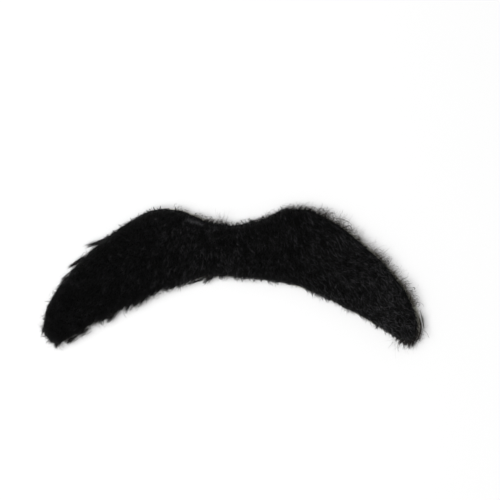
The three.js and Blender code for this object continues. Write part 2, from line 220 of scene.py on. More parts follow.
# Loose fibres past the cut edge: the stretch they leave it from, how far out they run, and how many
# of them are fine and straight or coarser and curled
FRIZZ = [
    {"side": 1, "start": 0.00, "end": 0.12, "out": 0.6, "fibres": 120, "curls": 8},
    {"side": 1, "start": 0.12, "end": 0.18, "out": 0.68, "fibres": 150, "curls": 34},
    {"side": 1, "start": 0.18, "end": 0.27, "out": 1.3, "fibres": 340, "curls": 60},
    {"side": 1, "start": 0.27, "end": 0.36, "out": 1.5, "fibres": 200, "curls": 22},
    {"side": 1, "start": 0.36, "end": 0.44, "out": 1.3, "fibres": 220, "curls": 44},
    {"side": 1, "start": 0.44, "end": 0.49, "out": 1.3, "fibres": 160, "curls": 40},
    {"side": 1, "start": 0.49, "end": 0.56, "out": 1.25, "fibres": 150, "curls": 12},
    {"side": 1, "start": 0.55, "end": 0.62, "out": 1.5, "fibres": 100, "curls": 26},
    {"side": 1, "start": 0.62, "end": 0.88, "out": 0.35, "fibres": 100, "curls": 18},
    {"side": 1, "start": 0.88, "end": 1.00, "out": 0.35, "fibres": 30, "curls": 10},
    {"side": -1, "start": 0.02, "end": 0.07, "out": 1.2, "fibres": 160, "curls": 10},
    {"side": -1, "start": 0.06, "end": 0.13, "out": 0.7, "fibres": 130, "curls": 6},
    {"side": -1, "start": 0.18, "end": 0.34, "out": 0.35, "fibres": 50, "curls": 16},
    {"side": -1, "start": 0.34, "end": 0.58, "out": 0.6, "fibres": 150, "curls": 30},
    {"side": -1, "start": 0.58, "end": 0.86, "out": 0.95, "fibres": 200, "curls": 40},
    {"side": -1, "start": 0.92, "end": 1.00, "out": 0.5, "fibres": 50, "curls": 12},
]
# Share of the half outline from one clump of loose fibres to the next
FRIZZ_CLUMP = 0.012

# Radii of the fine loose fibres, of the coarser curled ones, and of the placed strands and curls
FINE_RADIUS = 0.0135
CURL_RADIUS = 0.036
RUN_RADIUS = 0.034

# Distance past the bed's edge at which the painted light through a loose fibre comes to full strength,
# and the least height of one above the table
PAINTED_LIGHT_FROM = 1.2
LOWEST_LOOSE = 0.1

# How finely the outline is worked out: points of each cubic curve, even steps of the half outline,
# points of the pile's edge on each wing, and how near the tips the end stations of a slab lie
CURVE_POINTS = 600
HALF_STEPS = 400
EDGE_POINTS = 160
END_STATION = 0.997

# The grid of distances in to the edge, and the area that wisps are scattered over
GRID_STEP = 0.25
GRID_X = (-49, 49)
GRID_Y = (-28, 15)
WISPS_X = (-47, 47)
WISPS_Y = (-25, 12)


def cubic(corners, steps):
    """Points of a cubic curve: its four corners weighed by the Bernstein shares of t."""
    t = np.linspace(0, 1, steps)[:, None]
    a, b, c, d = (np.array(corner, float) for corner in corners)
    return (1 - t) ** 3 * a + 3 * t * (1 - t) ** 2 * b + 3 * t**2 * (1 - t) * c + t**3 * d


def half_outline():
    """The right half of the cut outline, clockwise from notch to arch, at even steps of its length:
    points, outward normals (the tangent turned a quarter left) and the share where the wing ends."""
    hump_x = HUMP_SPACING / 2
    tip_x = CUT_HALF_SPAN - TIP_INSET
    slope = math.radians(TIP_SLOPE)
    inwards = np.array([-math.cos(slope), math.sin(slope)])
    shoulder = CUT_HALF_SPAN - hump_x
    height = HUMP_RISE + WING_DROP
    tip = np.array([tip_x, -TIP_DROP])
    notch_out = (FULLNESS["notch"] * hump_x, NOTCH_RISE)
    hump_in = (hump_x - FULLNESS["hump_inside"] * hump_x, HUMP_RISE)
    hump_out = (hump_x + FULLNESS["hump_outside"] * shoulder, HUMP_RISE)
    shoulder_in = (CUT_HALF_SPAN, FULLNESS["shoulder"] * height - WING_DROP)
    below = (CUT_HALF_SPAN, -WING_DROP - FULLNESS["tip_outside"] * (TIP_DROP - WING_DROP))
    pieces = [
        [(0, NOTCH_RISE), notch_out, hump_in, (hump_x, HUMP_RISE)],
        [(hump_x, HUMP_RISE), hump_out, shoulder_in, (CUT_HALF_SPAN, -WING_DROP)],
        [(CUT_HALF_SPAN, -WING_DROP), below, tip - FULLNESS["tip_inside"] * TIP_INSET * inwards, tip],
        [
            tip,
            tip + FULLNESS["lower_edge"] * tip_x * inwards,
            (FULLNESS["arch"] * tip_x, -ARCH_RISE),
            (0, -ARCH_RISE),
        ],
    ]
    runs = [cubic(piece, CURVE_POINTS) for piece in pieces]
    path = np.concatenate([runs[0]] + [run[1:] for run in runs[1:]])
    lengths = np.concatenate([[0], np.cumsum(np.linalg.norm(np.diff(path, axis=0), axis=1))])
    even = np.linspace(0, lengths[-1], HALF_STEPS + 1)
    points = np.stack([np.interp(even, lengths, path[:, k]) for k in range(2)], axis=1)
    tangents = np.gradient(points, axis=0)
    tangents[0] = tangents[-1] = 0
    tangents[0, 0] = 1
    tangents[-1, 0] = -1
    tangents /= np.linalg.norm(tangents, axis=1, keepdims=True)
    normals = np.stack([-tangents[:, 1], tangents[:, 0]], axis=1)
    steps = CURVE_POINTS - 1
    middle_of_tip = (lengths[2 * steps] + lengths[3 * steps]) / 2
    return points, normals, middle_of_tip / lengths[-1]


half_points, half_normals, TIP_SHARE = half_outline()


def edge(share, margin, side):
    """Places and outward normals on the outline at shares of its half length, moved out by margin."""
    steps = np.linspace(0, 1, HALF_STEPS + 1)
    x, y = (np.interp(share, steps, half_points[:, k]) for k in range(2))
    nx, ny = (np.interp(share, steps, half_normals[:, k]) for k in range(2))
    size = np.hypot(nx, ny)
    nx, ny = nx / size, ny / size
    place = np.stack([side * (x + margin * nx), y + margin * ny], axis=-1)
    return place, np.stack([side * nx, ny], axis=-1)


def slow_waves(xy, size, seed):
    """Smooth noise from about -1 to 1: a sum of six plane waves of about that size, each in its own
    direction and phase."""
    rng = np.random.default_rng(seed)
    angles = rng.uniform(0, 2 * np.pi, 6)
    phases = rng.uniform(0, 2 * np.pi, 6)
    lengths = size * rng.uniform(0.7, 1.6, 6)
    total = 0
    for angle, phase, length in zip(angles, phases, lengths):
        along = xy[..., 0] * np.cos(angle) + xy[..., 1] * np.sin(angle)
        total = total + np.sin(along * 2 * np.pi / length + phase)
    return total / 3


def edge_column(name, share, side):
    """A column of the pile-edge table at shares of the half outline, for the left or right wing."""
    shares = [row["share"] for row in EDGE]
    left = np.interp(share, shares, [row["left_" + name] for row in EDGE])
    right = np.interp(share, shares, [row["right_" + name] for row in EDGE])
    return np.where(np.asarray(side) < 0, left, right)


def distance_grid():
    """For each node of an even grid, its distance in to the bed's edge and the fibres' reach there:
    the least distance to the edge's segments, negative where an odd number of them doesn't lie to
    the node's right, and the reach of the nearest segment."""
    share = np.linspace(0, 1, EDGE_POINTS)
    shares = np.concatenate([share, share[::-1][1:-1]])
    sides = np.concatenate([np.ones(EDGE_POINTS), -np.ones(EDGE_POINTS - 2)])
    start, _ = edge(shares, edge_column("bed", shares, sides), sides)
    reaches = edge_column("reach", shares, sides) * (1 + 0.5 * slow_waves(start, 2.4, 6))
    end = np.roll(start, -1, axis=0)
    xs = np.arange(GRID_X[0], GRID_X[1] + GRID_STEP, GRID_STEP)
    ys = np.arange(GRID_Y[0], GRID_Y[1] + GRID_STEP, GRID_STEP)
    field = np.empty((2, len(xs), len(ys)))
    way = end - start
    for i, x in enumerate(xs):
        fx = x - start[:, 0][None]
        fy = ys[:, None] - start[:, 1][None]
        t = np.clip((fx * way[:, 0] + fy * way[:, 1]) / (way**2).sum(axis=1), 0, 1)
        gaps = np.hypot(t * way[:, 0] - fx, t * way[:, 1] - fy)
        spans = (start[:, 1][None] > ys[:, None]) != (end[:, 1][None] > ys[:, None])
        with np.errstate(divide="ignore", invalid="ignore"):
            crosses = spans & (fx < way[:, 0] * fy / way[:, 1])
        field[0, i] = np.where(crosses.sum(axis=1) % 2 == 1, gaps.min(axis=1), -gaps.min(axis=1))
        field[1, i] = reaches[gaps.argmin(axis=1)]
    return xs[0], ys[0], field


grid_x, grid_y, grid_field = distance_grid()


def read_grid(layer, xy):
    """A layer of the grid at any places, read between the four nearest nodes. A place past the grid
    reads its border."""
    field = grid_field[layer]
    column = np.clip((xy[..., 0] - grid_x) / GRID_STEP, 0, field.shape[0] - 1.001)
    row = np.clip((xy[..., 1] - grid_y) / GRID_STEP, 0, field.shape[1] - 1.001)
    i, j = column.astype(int), row.astype(int)
    u, v = column - i, row - j
    low = field[i, j] * (1 - v) + field[i, j + 1] * v
    high = field[i + 1, j] * (1 - v) + field[i + 1, j + 1] * v
    return low * (1 - u) + high * u


def inset_of(xy):
    """Distance in to the bed's edge."""
    return read_grid(0, xy)


def bed_surface(inset):
    """Height of the dense bed above the cloth: an outer wall, then a quarter ellipse up to the top."""
    share = np.clip(inset / BED_ROUND, 0, 1)
    return BED_RIM + (BED_HEIGHT - BED_RIM) * np.sqrt(1 - (1 - share) ** 2)


def column(table, by, name, places):
    """A named column of a table, read between its rows."""
    return np.interp(places, [row[by] for row in table], [row[name] for row in table])


def nap_angle(xy):
    """Angle of the pile's lie outwards from straight down, in radians: the table's upper and lower
    angles for that share of the half span, mixed by the height across the wing."""
    along = np.abs(xy[..., 0]) / CUT_HALF_SPAN
    share = np.clip(0.5 + (xy[..., 1] + WING_DROP * along**2) / NAP_TURN, 0, 1)
    lower = column(NAP, "along", "lower", along)
    upper = column(NAP, "along", "upper", along)
    return np.radians(lower + (upper - lower) * share)


def nap_heading(xy, turn=0.0):
    """Unit direction of the pile's lie, turned by extra radians."""
    angle = np.sign(xy[..., 0]) * nap_angle(xy) + turn
    return np.stack([np.sin(angle), -np.cos(angle)], axis=-1)


def new_piece(name, vertices, triangles, material, shades=None):
    """A mesh object from arrays: places in millimetres, triangles, and a shade for each vertex."""
    mesh = bpy.data.meshes.new(name)
    vertices = np.ascontiguousarray(vertices * MM, dtype=np.float32)
    triangles = np.ascontiguousarray(triangles, dtype=np.int32)
    mesh.vertices.add(len(vertices))
    mesh.vertices.foreach_set("co", vertices.ravel())
    mesh.loops.add(triangles.size)
    mesh.loops.foreach_set("vertex_index", triangles.ravel())
    mesh.polygons.add(len(triangles))
    mesh.polygons.foreach_set("loop_start", np.arange(0, triangles.size, 3, dtype=np.int32))
    mesh.polygons.foreach_set("use_smooth", np.full(len(triangles), True))
    if shades is not None:
        layer = mesh.attributes.new("shade", "FLOAT", "POINT")
        layer.data.foreach_set("value", np.ascontiguousarray(shades, dtype=np.float32).ravel())
    mesh.update(calc_edges=True)
    mesh.validate()
    mesh.materials.append(material)
    piece = bpy.data.objects.new(name, mesh)
    bpy.context.collection.objects.link(piece)
    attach(piece, "root")
    return piece


def strands(name, spine, radius, material, shade):
    """Fibres as closed three-sided spikes. spine holds each fibre's points from root to tip; every
    point but the last carries a ring of three corners at radius, turned about the fibre's own
    direction, the root ring is closed by one face and the last point closes the tip. shade has one
    value for each fibre or for each of its points."""
    count, points = spine.shape[:2]
    rings = points - 1
    ways = np.gradient(spine, axis=1)
    ways /= np.linalg.norm(ways, axis=2, keepdims=True) + 1e-9
    upright = np.zeros_like(ways)
    upright[..., 2] = 1
    sideways = np.cross(ways, upright)
    sideways /= np.linalg.norm(sideways, axis=2, keepdims=True) + 1e-9
    across = np.cross(sideways, ways)
    turns = 2 * np.pi * np.arange(3) / 3
    corners = (
        spine[:, :rings, None]
        + radius[:, :rings, None, None] * np.cos(turns)[None, None, :, None] * sideways[:, :rings, None]
        + radius[:, :rings, None, None] * np.sin(turns)[None, None, :, None] * across[:, :rings, None]
    )
    vertices = np.concatenate([corners.reshape(count, rings * 3, 3), spine[:, -1:]], axis=1)
    faces = [(0, 2, 1)]
    for ring in range(rings - 1):
        for side in range(3):
            a, b = ring * 3 + side, ring * 3 + (side + 1) % 3
            faces += [(a, b, b + 3), (a, b + 3, a + 3)]
    last = (rings - 1) * 3
    for side in range(3):
        faces.append((last + side, last + (side + 1) % 3, rings * 3))
    each = rings * 3 + 1
    triangles = np.array(faces)[None] + each * np.arange(count)[:, None, None]
    shades = np.broadcast_to(shade.reshape(count, -1), (count, points))
    shades = np.concatenate([np.repeat(shades[:, :rings], 3, axis=1), shades[:, -1:]], axis=1)
    piece = new_piece(name, vertices.reshape(-1, 3), triangles.reshape(-1, 3), material, shades)
    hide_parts("fur_pile")
    return piece


def srgb(code):
    """An sRGB hex colour as linear RGBA."""
    parts = [int(code[i : i + 2], 16) / 255 for i in (1, 3, 5)]
    return [p / 12.92 if p <= 0.04045 else ((p + 0.055) / 1.055) ** 2.4 for p in parts] + [1.0]


def add(tree, kind, links=None, **settings):
    """Adds a node, sets its properties and unlinked sockets, and links sockets from others."""
    node = tree.nodes.new(kind)
    for key, value in settings.items():
        if hasattr(node, key):
            setattr(node, key, value)
        else:
            node.inputs[key.replace("_", " ")].default_value = value
    for key, source in (links or {}).items():
        tree.links.new(source, node.inputs[key])
    return node


def material(name):
    """An empty node material with its output, and that output's surface socket."""
    made = bpy.data.materials.new(name)
    made.use_nodes = True
    tree = made.node_tree
    tree.nodes.clear()
    return made, tree, tree.nodes.new("ShaderNodeOutputMaterial").inputs


def pile_fibre_mat():
    """Modacrylic pile fibre, spun-dyed black: near black and faintly glossy along its length, each fibre
    a little lighter or darker; the ramp's light end carries the painted glints and painted sheen on some
    fibre tips."""
    made, tree, out = material("modacrylic_pile_fibre_black")
    shade = add(tree, "ShaderNodeAttribute", attribute_name="shade")
    colour = add(tree, "ShaderNodeValToRGB", {"Fac": shade.outputs["Fac"]})
    colour.color_ramp.elements[0].color = srgb("#020202")
    colour.color_ramp.elements[1].color = srgb("#7c7c7f")
    surface = add(
        tree,
        "ShaderNodeBsdfPrincipled",
        {"Base Color": colour.outputs["Color"]},
        Roughness=0.42,
        IOR=1.5,
        Specular_IOR_Level=0.14,
    )
    tree.links.new(surface.outputs["BSDF"], out["Surface"])
    return made


def loose_fibre_mat():
    """Loose single fibres of the same yarn: nearly black, with a painted greyish brown cast on the
    lighter ones for the light that gets through so fine a fibre."""
    made, tree, out = material("modacrylic_loose_fibre_painted_light")
    shade = add(tree, "ShaderNodeAttribute", attribute_name="shade")
    colour = add(tree, "ShaderNodeValToRGB", {"Fac": shade.outputs["Fac"]})
    colour.color_ramp.elements[0].color = srgb("#151312")
    colour.color_ramp.elements[1].color = srgb("#5f5246")
    surface = add(
        tree,
        "ShaderNodeBsdfPrincipled",
        {"Base Color": colour.outputs["Color"]},
        Roughness=0.6,
        IOR=1.5,
        Specular_IOR_Level=0.2,
    )
    tree.links.new(surface.outputs["BSDF"], out["Surface"])
    return made


def underfur_mat():
    """Felted underfur of the same fibre, too fine to see singly: black with a short matted grain."""
    made, tree, out = material("matted_underfur_black")
    place = add(tree, "ShaderNodeTexCoord")
    # Grain 0.17 mm wide, one metre over the scale: the width of a few matted fibres
    grain = add(
        tree, "ShaderNodeTexNoise", {"Vector": place.outputs["Object"]}, Scale=6000.0, Detail=3.0
    )
    colour = add(tree, "ShaderNodeValToRGB", {"Fac": grain.outputs["Fac"]})
    colour.color_ramp.elements[0].color = srgb("#070707")
    colour.color_ramp.elements[1].color = srgb("#161617")
    bump = add(tree, "ShaderNodeBump", {"Height": grain.outputs["Fac"]}, Strength=0.6, Distance=0.0002)
    surface = add(
        tree,
        "ShaderNodeBsdfPrincipled",
        {"Base Color": colour.outputs["Color"], "Normal": bump.outputs["Normal"]},
        Roughness=0.9,
        IOR=1.5,
        Specular_IOR_Level=0.1,
    )
    tree.links.new(surface.outputs["BSDF"], out["Surface"])
    return made


def knit_mat():
    """Warp-knitted polyester ground, dyed black: dull, ribbed by fine uneven wales."""
    made, tree, out = material("warp_knit_polyester_black")
    place = add(tree, "ShaderNodeTexCoord")
    # A wale each 1.2 mm, 0.314 m over the scale: twice the real spacing, so that they show
    wales = add(
        tree,
        "ShaderNodeTexWave",
        {"Vector": place.outputs["Object"]},
        Scale=260.0,
        Distortion=1.5,
        Detail=2.0,
        Detail_Scale=2.0,
    )
    colour = add(tree, "ShaderNodeValToRGB", {"Fac": wales.outputs["Fac"]})
    colour.color_ramp.elements[0].color = srgb("#0b0b0c")
    colour.color_ramp.elements[1].color = srgb("#1d1c1e")
    bump = add(tree, "ShaderNodeBump", {"Height": wales.outputs["Fac"]}, Strength=0.7, Distance=0.0001)
    surface = add(
        tree,
        "ShaderNodeBsdfPrincipled",
        {"Base Color": colour.outputs["Color"], "Normal": bump.outputs["Normal"]},
        Roughness=0.85,
        IOR=1.5,
        Specular_IOR_Level=0.3,
    )
    tree.links.new(surface.outputs["BSDF"], out["Surface"])
    return made


def adhesive_mat():
    """Acrylic pressure-sensitive adhesive, coated: a milky greyish film with a soft wet gloss."""
    made, tree, out = material("acrylic_adhesive_film")
    place = add(tree, "ShaderNodeTexCoord")
    # Clouds 1.1 mm wide, where the coating lies thicker or thinner
    cloud = add(tree, "ShaderNodeTexNoise", {"Vector": place.outputs["Object"]}, Scale=900.0, Detail=2.0)
    colour = add(tree, "ShaderNodeValToRGB", {"Fac": cloud.outputs["Fac"]})
    colour.color_ramp.elements[0].color = srgb("#c2c2b4")
    colour.color_ramp.elements[1].color = srgb("#dadacd")
    surface = add(
        tree,
        "ShaderNodeBsdfPrincipled",
        {"Base Color": colour.outputs["Color"]},
        Roughness=0.3,
        IOR=1.47,
    )
    tree.links.new(surface.outputs["BSDF"], out["Surface"])
    return made


def paper_mat():
    """Siliconised glassine release paper, supercalendered: pale grey and satin, with the cloudy
    formation of its pulp in both colour and gloss."""
    made, tree, out = material("siliconised_glassine_paper")
    place = add(tree, "ShaderNodeTexCoord")
    # Clouds 2.9 mm wide, the size of flocks in paper pulp
    cloud = add(tree, "ShaderNodeTexNoise", {"Vector": place.outputs["Object"]}, Scale=350.0, Detail=4.0)
    colour = add(tree, "ShaderNodeValToRGB", {"Fac": cloud.outputs["Fac"]})
    colour.color_ramp.elements[0].color = srgb("#c8c7bf")
    colour.color_ramp.elements[1].color = srgb("#dad9d2")
    rough = add(
        tree,
        "ShaderNodeMapRange",
        {"Value": cloud.outputs["Fac"]},
        To_Min=0.35,
        To_Max=0.5,
    )
    surface = add(
        tree,
        "ShaderNodeBsdfPrincipled",
        {"Base Color": colour.outputs["Color"], "Roughness": rough.outputs["Result"]},
        IOR=1.5,
    )
    tree.links.new(surface.outputs["BSDF"], out["Surface"])
    return made


def wing_stations(count):
    """Stations from the left tip to the right one, closer together towards the tips: the share of
    the way out from the middle, and the side."""
    turn = np.linspace(-0.5 * np.pi, 0.5 * np.pi, count)
    place = np.sin(turn) * END_STATION
    return np.abs(place), np.where(place < 0, -1.0, 1.0)


def lofted_slab(name, margin, stations, across, height, floor, finish, ripple=0.0):
    """A closed slab lofted from tip to tip. At each station a section runs from the lower edge to
    the upper one over the top and back underneath; height(inset, place) gives the top above the
    floor level, and a ripple moves the cut edge in and out like the wales of a knit. Each end is
    closed by a fan to its middle."""
    along, side = wing_stations(stations)
    # The ripple turns by 2.4 radians a station and stops where the stations crowd at the tips
    wobble = ripple * np.sin(np.arange(stations) * 2.4) * (along < 0.97)
    upper_share, lower_share = along * TIP_SHARE, 1 - along * (1 - TIP_SHARE)
    upper, _ = edge(upper_share, margin(upper_share, side) + wobble, side)
    lower, _ = edge(lower_share, margin(lower_share, side) - wobble, side)
    share = (1 - np.cos(np.linspace(0, np.pi, across))) / 2
    width = np.linalg.norm(upper - lower, axis=1)[:, None]
    place = lower[:, None] + (upper - lower)[:, None] * share[None, :, None]
    inset = np.minimum(share, 1 - share)[None] * width
    top = np.concatenate([place, (floor + height(inset, place))[..., None]], axis=2)
    under_share = share[::-1]
    under_place = lower[:, None] + (upper - lower)[:, None] * under_share[None, :, None]
    under = np.concatenate([under_place, np.full(under_place.shape[:2] + (1,), floor)], axis=2)
    ring = np.concatenate([top, under], axis=1)
    sides = ring.shape[1]
    index = np.arange(stations * sides).reshape(stations, sides)
    a, b = index[:-1], np.roll(index[:-1], -1, axis=1)
    c, d = np.roll(index[1:], -1, axis=1), index[1:]
    walls = np.stack([np.stack([a, d, c], -1), np.stack([a, c, b], -1)], axis=2).reshape(-1, 3)
    middles = ring[[0, -1]].mean(axis=1)
    left_pole, right_pole = stations * sides, stations * sides + 1
    turned = np.roll(index, -1, axis=1)
    left_end = np.stack([index[0], turned[0], np.full(sides, left_pole)], axis=1)
    right_end = np.stack([turned[-1], index[-1], np.full(sides, right_pole)], axis=1)
    vertices = np.concatenate([ring.reshape(-1, 3), middles])
    triangles = np.concatenate([walls, left_end, right_end])
    return new_piece(name, vertices, triangles, finish)


def lay_strands(name, root, heading, length, lift, shade, pull, curl=0.16, spare=None, rings=3, seed=1):
    """Fibres that follow the bed. Their points lie at even shares to the power 0.75, so closer
    together towards the tip. At a share t of a fibre's length its place is the root plus the heading
    times length t cos(lift), plus a pull towards its wisp and a sideways curl that both grow with t
    squared; its height is the bed's there plus length sin(lift) t (1 - 0.42 t), less the root's depth,
    which fades out with t. Past the bed's edge it droops with the distance. A fibre that would reach
    past the edge by more than the spare length is cut shorter, as the shears leave it."""
    count = len(root)
    t = np.linspace(0, 1, rings + 1)[None] ** 0.75
    rng = np.random.default_rng(seed)
    curl = rng.normal(0, curl, count)
    sideways = np.stack([-heading[:, 1], heading[:, 0]], axis=1)
    scale = np.ones(count)

    def places():
        reach = (scale * length * np.cos(lift))[:, None] * t
        place = root[:, None, :2] + heading[:, None] * reach[..., None]
        bend = sideways * (curl * length)[:, None] + pull
        return place + (bend * scale[:, None])[:, None] * (t**2)[..., None]

    if spare is not None:
        for _ in range(CUTS):
            tip = places()[:, -1]
            left = spare * read_grid(1, tip) * (1 + 0.8 * slow_waves(tip, 0.9, 12))
            scale = np.where(-inset_of(tip) > left, scale * CUT_SHARE, scale)
    place = places()
    inset = inset_of(place)
    rise = (scale * length * np.sin(lift))[:, None] * t * (1 - 0.42 * t)
    z = PILE_BOTTOM + bed_surface(inset) + root[:, None, 2] * (1 - t) + rise
    z = z - DROOP * np.maximum(-inset, 0)
    spine = np.concatenate([place, np.maximum(z, LOWEST_FIBRE)[..., None]], axis=2)
    thickness = FIBRE_RADIUS * rng.uniform(0.75, 1.25, count)[:, None] * (1 - 0.55 * t**2)
    return strands(name, spine, thickness, fibre, shade)


def underfur_margin(share, side):
    """How far the underfur's wall lies past the cut: a little inside the edge that fibres fill out."""
    return edge_column("bed", share, side) - UNDERFUR_INSET


def underfur_height(inset, place):
    """Height of the underfur's top above the cloth: just under the bed's, with a relief of slow waves
    that fades out at the edge."""
    relief = UNDERFUR_RELIEF * slow_waves(place, 1.8, 5) * np.clip(inset, 0, 1)
    return bed_surface(inset) - UNDERFUR_SINK + relief


def cloth_margin(share, side):
    """The cloth ends at the cut, or a tenth past the bed's edge where that is drawn in."""
    return np.minimum(0.0, edge_column("bed", share, side) + 0.1)


def cloth_height(inset, _place):
    """Height of the cloth's top above its underside: level, and falling off by a square at the cut."""
    return CLOTH_THICKNESS - CLOTH_ROUND * (1 - np.clip(inset / CLOTH_ROUND, 0, 1)) ** 2


fibre = pile_fibre_mat()

# The dense bed that the fibres rise from, with a low matted relief
underfur = lofted_slab(
    "matted_underfur",
    underfur_margin,
    stations=260,
    across=36,
    height=underfur_height,
    floor=PILE_BOTTOM,
    finish=underfur_mat(),
)
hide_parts("fur_pile")

# The knitted ground that carries the pile
ground = lofted_slab(
    "knitted_ground",
    cloth_margin,
    stations=300,
    across=12,
    height=cloth_height,
    floor=CLOTH_BOTTOM,
    finish=knit_mat(),
    ripple=0.05,
)
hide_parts("ground_cloth")


def wisp_centres(spacing, seed):
    """Centres of the wisps that the fibres cling together in: a staggered grid with its rows 0.87
    spacings apart, as even triangles have them, and each centre moved at random."""
    rng = np.random.default_rng(seed)
    ys = np.arange(*WISPS_Y, spacing * 0.87)
    xs = np.arange(*WISPS_X, spacing)
    rows, columns = np.meshgrid(ys, xs, indexing="ij")
    shift = (np.arange(len(ys)) % 2 * spacing / 2)[:, None]
    centres = np.stack([columns + shift, rows], axis=-1).reshape(-1, 2)
    centres = centres + rng.normal(0, 0.3 * spacing, centres.shape)
    return centres[inset_of(centres) > -0.1]


def painted_glints(places, rng):
    """Shades of each fibre at its root, middle and tip: mostly dark, with painted glints on a few,
    lighter towards the tip, more of them to the right. By place along the wings, share is how many carry
    a painted glint, level the shade of all and bright how light the painted glints are."""
    share = np.interp(places[:, 0], [-30, -10, 15, 35], [0.02, 0.055, 0.055, 0.15])
    glint = rng.random(len(places)) < share
    level = np.interp(places[:, 0], [-30, -15, 10, 35], [-0.003, 0.004, 0.004, 0.004])
    bright = np.interp(places[:, 0], [-30, -18, -5, 10, 20, 35], [1.1, 1.1, 1.7, 1.3, 1.7, 1.9])
    light = glint * bright * rng.uniform(0.2, 1, len(places))
    even = level + rng.normal(0, 0.03, len(places))
    return even[:, None] + light[:, None] * np.array([0, 0.45, 1])


def on_painted_sheen(places):
    """Which places lie within half the width of the painted sheen streak's centre line."""
    start, end = np.array(PAINTED_SHEEN_STREAK["start"]), np.array(PAINTED_SHEEN_STREAK["end"])
    way = end - start
    t = np.clip(((places - start) * way).sum(axis=1) / (way**2).sum(), 0, 1)
    return np.linalg.norm(start + t[:, None] * way - places, axis=1) < PAINTED_SHEEN_STREAK["width"] / 2


def pile_field(spacing, each, seed):
    """The whole pile: wisps all over the bed with each so many fibres, which share the wisp's turn,
    lift, length and cut and cling a little at its tip, over slow waves of the lie across the wings."""
    rng = np.random.default_rng(seed)
    centres = wisp_centres(spacing, seed + 1)
    wisps = len(centres)
    count = wisps * each
    wave = math.radians(16) * slow_waves(centres, 11, 8) + math.radians(7) * slow_waves(centres, 2.6, 9)
    turn = np.repeat(wave + rng.normal(0, math.radians(10), wisps), each)
    turn = turn + rng.normal(0, math.radians(20), count)
    turn = turn + (rng.random(count) < 0.06) * rng.normal(0, math.radians(50), count)
    offset = rng.normal(0, 0.4 * spacing, (count, 2))
    roots = np.repeat(centres, each, axis=0) + offset
    heading = nap_heading(roots, turn)
    sideways = np.stack([-heading[:, 1], heading[:, 0]], axis=1)
    pull = -0.6 * (offset * sideways).sum(axis=1)[:, None] * sideways
    length = FIBRE_LENGTH * np.repeat(rng.normal(1, 0.1, wisps), each) * rng.normal(1, 0.18, count)
    lift = np.radians(FIBRE_LIFT + np.repeat(rng.normal(0, 3, wisps), each) + rng.normal(0, 7, count))
    # Each wisp's own tone, plus the painted glints
    shade = np.repeat(rng.normal(0, 0.012, wisps), each)[:, None] + painted_glints(roots, rng)
    # Painted sheen: fibres whose tips lie on the brushed-over line are made lighter
    tips = roots + heading * (0.8 * length * np.cos(lift))[:, None]
    shade = shade + (rng.uniform(0.15, 0.7, count) * on_painted_sheen(tips))[:, None]
    spare = np.repeat(rng.gamma(1.3, 1 / 1.3, wisps), each) * rng.uniform(0.7, 1.1, count)
    root = np.concatenate([roots, np.full((count, 1), -ROOT_DEPTH)], axis=1)
    inside = np.flatnonzero(inset_of(roots) > 0)
    order = inside[np.argsort(roots[inside, 0])]
    for number, part in enumerate(np.array_split(order, 4)):
        lay_strands(
            f"pile_fibres_{'abcd'[number]}",
            root[part],
            heading[part],
            np.clip(length[part], 1.0, 3.6),
            np.clip(lift[part], 0.05, 0.95),
            np.clip(shade[part], 0, 1),
            pull[part],
            spare=spare[part],
            rings=2,
            seed=number,
        )


pile_field(spacing=0.315, each=4, seed=11)


def edge_fibres(clumps, each, seed):
    """Fibres along the cut edge, in the small clumps that the shears leave: each clump is rooted in
    the bed's wall, splayed outwards, mixed with the lie, and drawn together at its tip."""
    rng = np.random.default_rng(seed)
    share = rng.uniform(0, 1, clumps)
    side = rng.choice([-1.0, 1.0], clumps)
    middle, out = edge(share, edge_column("bed", share, side) - 0.3, side)
    lie = nap_heading(middle, rng.normal(0, 0.3, clumps))
    mix = np.where((lie * out).sum(axis=1) > 0, 0.8, 0.25)[:, None]
    way = mix * lie + (1 - mix) * out + rng.normal(0, 0.25, (clumps, 2))
    way = np.repeat(way / np.linalg.norm(way, axis=1, keepdims=True), each, axis=0)
    count = clumps * each
    across = np.stack([-way[:, 1], way[:, 0]], axis=1)
    offset = rng.normal(0, 0.09, count)[:, None] * across
    place = np.repeat(middle, each, axis=0) + offset
    root = np.concatenate([place, rng.uniform(-0.85, 0.1, count)[:, None]], axis=1)
    length = np.repeat(EDGE_LENGTH * rng.gamma(4, 1 / 4, clumps), each) * rng.uniform(0.7, 1.1, count)
    lift = np.repeat(rng.uniform(-0.15, 0.5, clumps), each) + rng.normal(0, 0.05, count)
    spare = np.repeat(rng.gamma(1.3, 1 / 1.3, clumps), each) * rng.uniform(0.7, 1.1, count)
    shade = np.clip(rng.normal(0.05, 0.04, count), 0, 1)
    lay_strands(
        "edge_fibres",
        root,
        way,
        np.clip(length, 0.3, 3),
        lift,
        shade,
        -0.9 * offset,
        curl=0.05,
        spare=spare,
        rings=2,
        seed=seed,
    )


edge_fibres(clumps=1150, each=7, seed=32)


